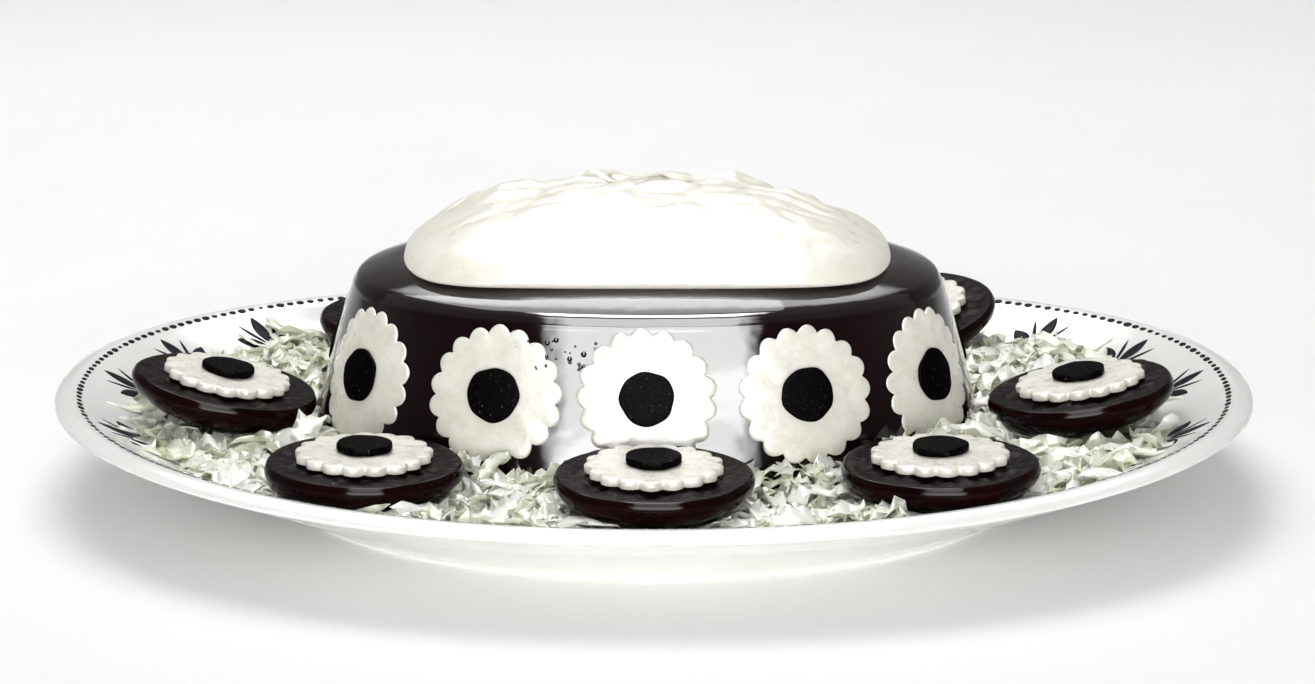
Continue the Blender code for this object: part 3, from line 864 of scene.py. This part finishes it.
@dataclass
class CreamMound:
    """The mound of mayonnaise on top: smooth in front, folded along its back."""

    jelly: Jelly
    edge: float = 78.6
    roundness: float = 2.7
    squarer_front: float = 0.8
    fullness: float = 2.1
    steep: float = 0.2               # share of the height that stands up at the edge
    shoulder: tuple[float, float, float, float] = (-55.0, 6.0, 16.0, 3.2)
    around: int = 360
    rows: int = 90

    def __post_init__(self) -> None:
        """Takes the mound's size and place from the frame."""
        low, high = node_box("cream")
        self.low, self.high = low, high
        self.middle = float(low[0] + high[0]) / 2
        self.half_length, self.half_width = (high - low)[:2] / 2

    def lumps(self, x: Array, y: Array) -> tuple[Array, Array]:
        """Height of the folds: broad lumps, a fuller shoulder and creases at the back.

        Creases are |w| of slow waves, which gives rounded ridges with sharp valleys.

        Args:
            x: along the mound from its middle.
            y: across it.

        Returns:
            The added height, and how deep in a crease each point lies, which the mound paints as shade.
        """
        back = 1.0 / (1.0 + np.exp(-0.13 * (y - 6.0)))
        broad = (np.sin(0.13 * x + 0.9) * np.sin(0.21 * y + 0.4)
                 + 0.6 * np.sin(0.27 * x - 0.11 * y + 2.0)) * (0.4 + 0.9 * back)
        middle_x, middle_y, reach, height = self.shoulder
        full = height * np.exp(-((x - middle_x) ** 2 + (y - middle_y) ** 2) / reach ** 2)
        warp = x + 5.0 * waves(x, y, 34.0, 5)
        fold = waves(warp, y * 1.7, 26.0, 9)
        crease = np.tanh(1.3 * np.sqrt(fold ** 2 + 0.012)) - 0.25
        fine = 0.25 * waves(x, y, 9.0, 21)
        height = broad + full + (0.6 + 3.2 * back) * crease + (0.5 + 1.3 * back) * fine
        return height, (0.12 + 0.88 * back) * np.exp(-(fold / 0.16) ** 2)

    def fall(self, x: Array, y: Array) -> Array:
        """How far the jelly's top has fallen away under a place.

        The inset from the wall's top edge is |p| (1 / s - 1), where s is the place's
        share of the way out to that edge; the shoulder's section gives the height there.

        Args:
            x: along the mound from its middle.
            y: across it.

        Returns:
            The flat top's height less the shoulder's.
        """
        half_length, half_width = self.jelly.halves(self.jelly.wall_top)
        share = ((np.abs(x) / half_length) ** ROUNDNESS
                 + (np.abs(y) / half_width) ** ROUNDNESS) ** (1 / ROUNDNESS)
        inset = np.hypot(x, y) * (1 / np.maximum(share, 1e-3) - 1.0)
        crown = smooth_rows(self.jelly.crown, 8)
        return crown[-1, 1] - np.interp(inset, crown[:, 0], crown[:, 1])

    def build(self) -> None:
        """Builds the mound: z = edge + h((1 - s)(1 - r^p) + s sqrt(1 - r^10)) + lumps."""
        angle = even_angles(self.half_length, self.half_width, self.around, self.roundness)
        row = np.sin(np.linspace(math.pi / 2, 0.02, self.rows))
        scale = np.concatenate([[0.9, 0.97, 0.99], row])
        front = 0.5 - 0.5 * np.tanh(3.0 * np.sin(angle))
        flat = oval(self.half_length * scale[:, None], self.half_width * scale[:, None],
                    angle[None], self.roundness + self.squarer_front * front[None])
        tall = self.high[2] - self.edge
        share = ((1 - self.steep) * (1 - row ** self.fullness)
                 + self.steep * np.sqrt(np.maximum(1 - row ** 10, 0.0)))
        height = self.edge + 0.94 * tall * share
        level = np.concatenate([[self.low[2], self.low[2], self.low[2] + 0.8], height])
        weight = np.concatenate([[0, 0, 0], 1 - row ** 4])
        lumps, shade = self.lumps(flat[..., 0], flat[..., 1])
        z = level[:, None] + weight[:, None] * lumps
        stretch = (self.high[2] - 0.05 - self.edge) / (z.max() - self.edge)
        z = np.where(z > self.edge, self.edge + (z - self.edge) * stretch, z)
        z = z - self.fall(flat[..., 0], flat[..., 1])
        rings = np.dstack([flat[..., 0] + self.middle, flat[..., 1], z])
        points, faces = closed_loft(rings)
        # Painted shade: the crease valleys, most of all along the back, are coloured darker.
        tone_and_shade = np.zeros((len(points), 3))
        tone_and_shade[:shade.size, 0] = (0.75 * shade * weight[:, None]).ravel()
        make_piece("mayonnaise_mound", (points, faces, {"tone_and_shade": tone_and_shade}, None),
                   [MAYONNAISE.material()],
                   ("cream",))


# ---- tomato halves ----

@dataclass
class TomatoHalves:
    """Tomato halves, cut side up, each with a fluted slice and a thick round."""

    radius: float = 31.5
    # Section from the base up over the cut rim: radius, height.
    section: list = field(default_factory=lambda: [
        (3.0, -13.0), (10.0, -13.0), (22.5, -10.8), (29.6, -6.3), (31.5, -2.9), (30.9, -0.6),
        (30.3, -0.05)])
    # Middle of each cut rim and its lean in towards the jelly, in degrees.
    places: list = field(default_factory=lambda: [
        (0.0, -110.8, 34.6, 0.5), (-90.5, -96.8, 34.4, 2.0), (89.5, -96.8, 34.2, 2.0),
        (-143.5, -16.5, 37.0, 11.5), (143.0, -18.5, 36.2, 9.0), (-91.0, 88.0, 32.4, 3.0),
        (93.5, 89.0, 34.2, 14.0), (0.0, 111.0, 34.4, 1.0)])
    slice: FlutedSlice = field(default_factory=lambda: FlutedSlice(21.8))
    round_radius: float = 8.9
    round_thickness: float = 2.5
    around: int = 120

    def placed(self, points: Array, place: tuple) -> Array:
        """Points leaned towards the jelly about the tangent, then moved to their place.

        Args:
            points: points about the middle of the cut rim.
            place: x, y, rim height and lean.

        Returns:
            The placed points.
        """
        x, y, height, lean = place
        turn, tilt = math.atan2(y, x), math.radians(-lean)
        spin = np.array([[math.cos(turn), -math.sin(turn), 0], [math.sin(turn), math.cos(turn), 0],
                         [0, 0, 1]])
        lay = np.array([[math.cos(tilt), 0, math.sin(tilt)], [0, 1, 0],
                        [-math.sin(tilt), 0, math.cos(tilt)]])
        return points @ (spin @ lay @ spin.T).T + [x, y, height]

    def build_half(self, number: int, place: tuple) -> None:
        """Builds one half: lobed skin, and a cut face that dips between its walls.

        r = s(t) (1 + 0.015 cos(5a + p)); the face dips by up to 1.2 mm where seeds were.

        Args:
            number: which half.
            place: its place.
        """
        angle = np.linspace(0, 2 * math.pi, self.around, endpoint=False)
        phase = np.random.default_rng(60 + number).uniform(0, 2 * math.pi, 3)
        lobes = 1 - 0.012 * (1 + np.cos(5 * angle + phase[0])) * 0.8
        skin = smooth_rows(self.section, 5)
        face = np.linspace(0.985, 0.1, 22)
        radius = np.concatenate([skin[:, 0], 30.3 * face])
        level = np.concatenate([skin[:, 1], np.zeros(len(face))])
        across = radius[:, None] * lobes[None]
        u, v = across * np.cos(angle), across * np.sin(angle)
        share = radius / 30.3
        dip = np.clip((0.93 - share) / 0.08, 0, 1) * 0.9
        bumps = 0.35 * waves(u, v, 5.0, number) * np.clip((0.97 - share) / 0.1, 0, 1)[:, None]
        on_face = (np.arange(len(radius)) >= len(skin))[:, None]
        chamber = 0.5 + 0.5 * np.cos(7 * angle + phase[1])[None] * np.ones_like(u)
        z = level[:, None] + np.where(on_face, bumps - dip[:, None] * chamber, 0.0)
        points, faces = closed_loft(self.placed(np.dstack([u, v, z]), place))
        cut = np.stack([np.broadcast_to(share[:, None], u.shape),
                        np.broadcast_to(np.cos(angle), u.shape),
                        np.broadcast_to(np.sin(angle), u.shape)], -1).reshape(-1, 3)
        cut = np.vstack([cut, [[0, 0, 0], [0, 0, 0]]])
        first = np.array([f[0] for f in faces])
        slots = np.where((first >= (len(skin) - 1) * self.around), 1, 0)
        slots[-2 * self.around:-self.around] = 0
        make_piece(f"tomato_cup_{number}", (points, faces, {"cut": cut}, slots),
                   [TOMATO_SKIN.material(), TOMATO_FLESH.material()],
                   (f"tomato_half_{number}",))

    def build(self) -> None:
        """Builds all halves with what lies on them."""
        for number, place in enumerate(self.places, start=1):
            self.build_half(number, place)
            back = 0.3
            front = back + self.slice.thickness
            u, v, rise, _ = self.slice.sheet(80 + number, back, front)
            lifted = rise + 0.12 * waves(u, v, 12.0, number) * (rise > back + 1.0)
            points, faces = closed_loft(self.placed(np.dstack([u, v, lifted]), place))
            make_piece(f"fluted_tomato_slice_{number}", (points, faces, {}, None),
                       [EGG_WHITE.material()], (f"tomato_slice_{number}",))
            u, v, rise = round_sheet(self.round_radius, 100 + number, front + 0.1,
                                     front + 0.1 + self.round_thickness, 0.7)
            points, faces = closed_loft(self.placed(np.dstack([u, v, rise]), place))
            make_piece(f"truffle_tomato_round_{number}", (points, faces, {}, None),
                       [TRUFFLE.material()], (f"tomato_round_{number}",))


# ---- lettuce ----

@dataclass
class Shreds:
    """One kind of torn lettuce: curled, ruffled strips of a given size."""

    name: str
    count: int
    length: tuple[float, float]
    width: tuple[float, float]
    ruffle: float                    # height of the waves along the torn edges
    waves: tuple[float, float]       # how many waves along the strip
    thickness: float
    steps: int
    across: int
    seed: int


@dataclass
class LettuceBed:
    """The bed of shredded lettuce between the jelly and the rim."""

    platter: Platter
    jelly: Jelly
    tomatoes: TomatoHalves
    depth: float = 12.0
    banked: float = 9.0              # how much more is banked up against the jelly
    core_share: float = 0.5          # how much of the heap is the solid core
    edge_front: float = 15.5         # how far inside the dish's edge the heap ends in front
    edge_drawn_in: float = 15.0      # and how much further in at the ends and the back
    kinds: list = field(default_factory=lambda: [
        Shreds("lettuce_ribbons", 1150, (14, 34), (2.6, 5.5), 0.9, (1.5, 3.5), 0.35, 9, 3, 7),
        Shreds("lettuce_frills", 900, (12, 26), (5.0, 10.0), 1.9, (1.5, 3.5), 0.35, 10, 4, 8)])

    def spot(self, share: Array, angle: Array) -> tuple[Array, Array]:
        """Plan place a share of the way from the jelly out to the heap's edge.

        Args:
            share: 0 at the jelly, 1 at the edge.
            angle: parameter angle round the dish.

        Returns:
            x and y.
        """
        away = 0.5 + 0.5 * np.tanh(6.0 * (np.sin(angle) + 0.55))
        edge = (self.edge_front + self.edge_drawn_in * away
                + 2.6 * np.sin(7 * angle + 0.5) + 1.9 * np.sin(17 * angle + 2.0))
        inner = oval(self.jelly.half_length + 1.0, self.jelly.half_width + 1.0, angle)
        outer = oval(self.platter.half_length - edge, self.platter.half_width - edge, angle)
        x = (1 - share) * (inner[..., 0] + self.jelly.shift) + share * outer[..., 0]
        return x, (1 - share) * inner[..., 1] + share * outer[..., 1]

    def heap(self, share: Array, x: Array, y: Array) -> Array:
        """Depth of the heap: d (0.75 + 0.25 sin cos) (1 - 0.8 share^3) + b (1 - share)^2."""
        lump = 0.75 + 0.25 * np.sin(0.16 * x + 0.7) * np.cos(0.19 * y - 1.3)
        return (self.depth * lump * (1.0 - 0.8 * share ** 3)
                + self.banked * (1.0 - share) ** 2)

    def clearance(self, x: Array, y: Array) -> Array:
        """Distance in plan to the nearest tomato's middle."""
        places = np.array(self.tomatoes.places)[:, :2]
        return np.hypot(x[..., None] - places[:, 0], y[..., None] - places[:, 1]).min(-1)

    def ceiling(self, x: Array, y: Array) -> Array:
        """Height that leaves must stay under: the skin of the tomato above, or none.

        A tomato's skin at distance d from its middle lies at its rim height less
        the depth of its section there, plus the slope of its lean.

        Args:
            x: along the dish.
            y: across it.

        Returns:
            The height, far above the dish where no tomato is near.
        """
        lowest = np.full(np.shape(x), 1e3)
        for middle_x, middle_y, height, lean in self.tomatoes.places:
            away = np.hypot(x - middle_x, y - middle_y)
            depth = np.interp(away, [10.0, 22.5, 29.6, 32.0, 33.5], [13.5, 11.5, 7.5, 3.5, -25.0])
            reach = math.hypot(middle_x, middle_y)
            outward = ((x - middle_x) * middle_x + (y - middle_y) * middle_y) / reach
            under = height - depth + math.tan(math.radians(lean)) * outward
            lowest = np.minimum(lowest, np.where(away < 33.5, under, 1e3))
        return lowest

    def build_core(self) -> None:
        """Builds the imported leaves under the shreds: a ring of the heap, lower all over."""
        angle = even_angles(self.platter.half_length, self.platter.half_width, 300)
        share = np.concatenate([np.linspace(0.0, 0.97, 26), np.linspace(0.97, 0.0, 8)])
        x, y = self.spot(share[:, None], angle[None])
        z = self.platter.height(x, y) + 0.5
        depth = self.heap(share[:, None], x, y) * self.core_share
        depth *= np.clip((self.clearance(x, y) - 24.0) / 12.0, 0.0, 1.0)
        depth += 0.8 * waves(x, y, 9.0, 3)
        top = (np.arange(len(share)) < 26)[:, None]
        z = z + np.where(top, np.maximum(depth, 0.3), 0.0)
        rings = np.dstack([x, y, z])
        faces = grid_faces(len(share) + 1, len(angle), True) % (len(share) * len(angle))
        make_piece("lettuce_core", (rings.reshape(-1, 3), faces[:, ::-1].tolist(), {}, None),
                   [LETTUCE_SHADE.material()], ("lettuce",))

    def places(self, kind: Shreds, rng: np.random.Generator) -> tuple[Array, Array, Array]:
        """Scatters the strips over the bed, clear of the tomatoes.

        Args:
            kind: which strips.
            rng: the seeded generator.

        Returns:
            x, y and share from the jelly outwards, one each a strip.
        """
        share = rng.uniform(0.0, 0.97, kind.count * 4)
        turn = rng.integers(0, 2000, kind.count * 4)
        angle = even_angles(self.platter.half_length, self.platter.half_width, 2000)[turn]
        x, y = self.spot(share, angle)
        free = self.clearance(x, y) > rng.uniform(14.0, 33.0, len(x))
        keep = np.flatnonzero(free)[:kind.count]
        return x[keep], y[keep], share[keep]

    def build_shreds(self, kind: Shreds) -> None:
        """Builds all strips of one kind as one mesh.

        A strip's middle line is an arc in its own plane, arched by h sin(pi s).
        Across it, t runs from -1 to 1 over its width; its edges are lifted by
        a t^2 sin(2 pi n s + p), it is curled by c t^2, rolled about its line and
        turned to its heading.

        Args:
            kind: which strips.
        """
        rng = np.random.default_rng(kind.seed)
        x0, y0, share = self.places(kind, rng)
        n = len(x0)
        s = np.linspace(0.0, 1.0, kind.steps)[None, :, None]
        t = np.linspace(-1.0, 1.0, kind.across)[None, None, :]

        def each(low: float, high: float) -> Array:
            """One seeded number a strip, ready to spread over its grid."""
            return rng.uniform(low, high, n)[:, None, None]

        length, half = each(*kind.length), each(*kind.width) / 2
        bend, heading, roll = each(-1.6, 1.6), each(0, 2 * math.pi), each(-0.9, 0.9)
        pitch, arch, curl = each(-0.35, 0.35), each(0.5, 4.0), each(-0.4, 1.2)
        width = half * (0.35 + 0.65 * np.sin(math.pi * (0.08 + 0.84 * s)) ** 0.6)
        width = width * (1 + 0.18 * np.sin(2 * math.pi * (each(1, 3) * s) + each(0, 6)) * t)
        line = (s - 0.5) * bend
        along = length * np.sin(line) / np.where(np.abs(bend) < 1e-3, 1e-3, bend)
        side = length * (1 - np.cos(line)) / np.where(np.abs(bend) < 1e-3, 1e-3, bend)
        ruffle = kind.ruffle * t ** 2 * np.sin(2 * math.pi * each(*kind.waves) * s + each(0, 6)
                                               + 1.2 * t)
        lift = arch * np.sin(math.pi * s) + ruffle + curl * half * 0.5 * t ** 2
        across = width * t
        # Roll the cross-section about the middle line, then turn it along the arc.
        flat, up = across * np.cos(roll) - lift * np.sin(roll), \
            across * np.sin(roll) + lift * np.cos(roll)
        u = along - flat * np.sin(line)
        v = side + flat * np.cos(line)
        w = up + np.sin(pitch) * along
        x = x0[:, None, None] + u * np.cos(heading) - v * np.sin(heading)
        y = y0[:, None, None] + u * np.sin(heading) + v * np.cos(heading)
        depth = self.heap(share, x0, y0) * rng.uniform(0.25, 0.95, n)
        z = self.platter.height(x0, y0)[:, None, None] + depth[:, None, None] + w
        # Nothing leaves the dish or lies in its glaze.
        inside = oval(self.platter.half_length - 12.0, self.platter.half_width - 12.0,
                      np.arctan2(y / self.platter.half_width, x / self.platter.half_length))
        pull = np.minimum(1.0, np.hypot(inside[..., 0], inside[..., 1]) / np.hypot(x, y))
        x, y = x * pull, y * pull
        z = np.minimum(z, self.ceiling(x, y) - 0.4)
        z = np.maximum(z, self.platter.height(x, y) + 0.5)
        middle = np.stack([x, y, z], -1)
        normal = np.cross(np.gradient(middle, axis=1), np.gradient(middle, axis=2))
        normal /= np.maximum(np.linalg.norm(normal, axis=-1, keepdims=True), 1e-6)
        half_thick = kind.thickness / 2 * (1 - 0.7 * t ** 4)[..., None]
        top = middle + normal * half_thick
        bottom = middle - normal * half_thick
        loop = np.concatenate([top, bottom[:, :, ::-1]], 2)
        columns = 2 * kind.across
        faces = strip_faces(kind.steps, kind.across)
        points, faces = repeated(loop.reshape(n, -1, 3), faces)
        tone_and_shade = rng.uniform(-0.15, 0.42, n)[:, None, None] * np.ones((1, kind.steps, columns))
        edge = np.abs(np.concatenate([t, t[..., ::-1]], 2)) ** 3 * np.ones_like(tone_and_shade)
        leaf = np.stack([tone_and_shade, edge, s * np.ones_like(tone_and_shade)], -1).reshape(-1, 3)
        make_piece(kind.name, (points, faces.tolist(), {"tone_and_shade": leaf}, None),
                   [LETTUCE.material()], ())

    def build(self) -> None:
        """Builds the core and every kind of shred."""
        self.build_core()
        for kind in self.kinds:
            self.build_shreds(kind)


# ---- studio ----

class Reaches(Enum):
    """What a lamp's light shows on."""

    EVERYTHING = 0
    GLOSS_ONLY = 1


@dataclass
class Lamp:
    """A rectangular soft lamp, aimed at the dish."""

    name: str
    bearing: float                   # degrees round from the front, to the right
    elevation: float                 # degrees above the table
    distance: float                  # metres
    width: float
    height: float
    power: float
    reaches: Reaches = Reaches.EVERYTHING
    fade: float = 0.0                # share of each side over which it fades out
    ragged: float = 0.0              # how far its fading edges wander, as a share of it

    def fade_edges(self, light: bpy.types.Light) -> None:
        """Lets the lamp fade out towards its edges, as a cloth diffuser does.

        Args:
            light: the lamp's light.
        """
        light.use_nodes = True
        tree = light.node_tree
        place = add_node(tree, "ShaderNodeNewGeometry").outputs["Parametric"]
        noise = add_node(tree, "ShaderNodeTexNoise", {"Scale": 7.0, "Detail": 4.0},
                         {"Vector": place})
        parts = add_node(tree, "ShaderNodeSeparateXYZ", {}, {"Vector": place})
        level = None
        for side in ("X", "Y"):
            moved = add_node(tree, "ShaderNodeMath",
                             {"operation": "MULTIPLY_ADD", 1: self.ragged},
                             {0: noise.outputs["Fac"], 2: parts.outputs[side]})
            off = add_node(tree, "ShaderNodeMath",
                           {"operation": "SUBTRACT", 1: 0.5 + self.ragged / 2},
                           {0: moved.outputs[0]})
            far = add_node(tree, "ShaderNodeMath", {"operation": "ABSOLUTE"},
                           {0: off.outputs[0]})
            fall = add_node(tree, "ShaderNodeMapRange",
                            {"interpolation_type": "SMOOTHSTEP", "From Min": 0.5 - self.fade,
                             "From Max": 0.5, "To Min": 1.0, "To Max": 0.0},
                            {"Value": far.outputs[0]}).outputs["Result"]
            level = fall if level is None else add_node(
                tree, "ShaderNodeMath", {"operation": "MULTIPLY"}, {0: level, 1: fall}
            ).outputs[0]
        tree.links.new(level, tree.nodes["Emission"].inputs["Strength"])

    def build(self, aim: Vector) -> None:
        """Hangs the lamp and turns it to the aim.

        Args:
            aim: where it looks.
        """
        light = bpy.data.lights.new(self.name, "AREA")
        light.shape, light.size, light.size_y = "RECTANGLE", self.width, self.height
        light.energy = self.power
        if self.fade:
            self.fade_edges(light)
        lamp = bpy.data.objects.new(self.name, light)
        bearing, up = math.radians(self.bearing), math.radians(self.elevation)
        away = Vector((math.sin(bearing) * math.cos(up), -math.cos(bearing) * math.cos(up),
                       math.sin(up)))
        lamp.location = aim + away * self.distance
        lamp.rotation_euler = away.to_track_quat("Z", "Y").to_euler()
        if self.reaches is Reaches.GLOSS_ONLY:
            lamp.visible_diffuse = False
        bpy.context.scene.collection.objects.link(lamp)


@dataclass
class Studio:
    """Pale paper sweep, soft lamps and the camera."""

    aim: tuple[float, float, float] = (0.0012, 0.0, 0.0459)
    elevation: float = 15.46         # degrees the camera looks down
    distance: float = 1.122          # metres from the aim
    lens: float = 90.34              # millimetres on a 36 mm frame
    room_dark: float = 0.10          # the air's light on the camera's side
    room_light: float = 0.68         # and above and behind
    lamps: list = field(default_factory=lambda: [
        Lamp("top_softbox", -165, 60, 1.65, 1.1, 0.8, 16.0),
        Lamp("front_softbox", 1, 6, 1.45, 1.3, 0.42, 14.0, fade=0.1),
        Lamp("window_card", 1, 16, 1.44, 1.35, 0.75, 95.0, Reaches.GLOSS_ONLY, 0.16, 0.10),
        Lamp("window_head_card", 1, 48, 1.3, 1.0, 0.95, 70.0, Reaches.GLOSS_ONLY, 0.14, 0.10),
        Lamp("shoulder_card", 0, 90, 1.1, 0.62, 0.5, 60.0, Reaches.GLOSS_ONLY, 0.15, 0.1),
        Lamp("crown_card", 180, 50, 1.3, 1.5, 0.55, 16.0, Reaches.GLOSS_ONLY, 0.25, 0.1)])

    def build_floor(self) -> None:
        """Lays the paper: flat under the dish, swept up far behind it."""
        x = np.linspace(-9000.0, 9000.0, 3)
        turn = np.linspace(0.0, math.pi / 2, 16)
        y = np.concatenate([[-9000.0], 1800.0 + 900.0 * np.sin(turn), [2700.0]])
        z = np.concatenate([[0.0], 900.0 * (1 - np.cos(turn)), [3500.0]])
        points = np.stack(np.broadcast_arrays(x[None], y[:, None], z[:, None]), -1)
        mesh = bpy.data.meshes.new("paper_sweep")
        mesh.from_pydata((points.reshape(-1, 3) * MM).tolist(), [],
                         grid_faces(len(y), 3, False).tolist())
        mesh.polygons.foreach_set("use_smooth", np.ones(len(mesh.polygons), bool))
        mesh.materials.append(BACKDROP.material())
        floor = bpy.data.objects.new("paper_sweep", mesh)
        bpy.context.scene.collection.objects.link(floor)

    def build_camera(self) -> None:
        """Puts the camera in front of the dish, looking down at it a little."""
        camera = bpy.data.cameras.new("camera")
        camera.lens, camera.sensor_width = self.lens, 36.0
        camera.clip_start, camera.clip_end = 0.05, 50.0
        eye = bpy.data.objects.new("camera", camera)
        down = math.radians(self.elevation)
        eye.location = Vector(self.aim) + Vector((0, -math.cos(down), math.sin(down))) \
            * self.distance
        eye.rotation_euler = (math.pi / 2 - down, 0.0, 0.0)
        bpy.context.scene.collection.objects.link(eye)
        bpy.context.scene.camera = eye

    def build(self) -> None:
        """Sets the camera, the paper, the air's light and the lamps."""
        self.build_camera()
        self.build_floor()
        world = bpy.data.worlds.new("soft_daylight")
        world.use_nodes = True
        tree = world.node_tree
        air = tree.nodes["Background"]
        air.inputs["Color"].default_value = linear("#F2F3F5")
        # The room is dark on the camera's side and light above and behind the table.
        way = add_node(tree, "ShaderNodeTexCoord").outputs["Generated"]
        parts = add_node(tree, "ShaderNodeSeparateXYZ", {}, {"Vector": way})
        lean = add_node(tree, "ShaderNodeMath", {"operation": "MULTIPLY_ADD", 1: 1.1},
                        {0: parts.outputs["Z"], 2: parts.outputs["Y"]})
        level = add_node(tree, "ShaderNodeMapRange",
                         {"interpolation_type": "SMOOTHSTEP", "From Min": -0.5,
                          "From Max": 0.9, "To Min": self.room_dark, "To Max": self.room_light},
                         {"Value": lean.outputs[0]})
        tree.links.new(level.outputs["Result"], air.inputs["Strength"])
        bpy.context.scene.world = world
        bpy.context.scene.view_settings.view_transform = "Standard"
        for lamp in self.lamps:
            lamp.build(Vector(self.aim))


def main() -> None:
    """Builds the studio and each part of the dish."""
    logging.basicConfig(level=logging.INFO, format="%(message)s")
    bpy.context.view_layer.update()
    Studio().build()
    platter = Platter()
    platter.build_dish()
    platter.build_beading()
    platter.build_sprays()
    jelly = Jelly()
    jelly.build()
    jelly.build_bubbles()
    WallSlices(jelly).build()
    CreamMound(jelly).build()
    tomatoes = TomatoHalves()
    tomatoes.build()
    LettuceBed(platter, jelly, tomatoes).build()


if __name__ == "__main__":
    main()
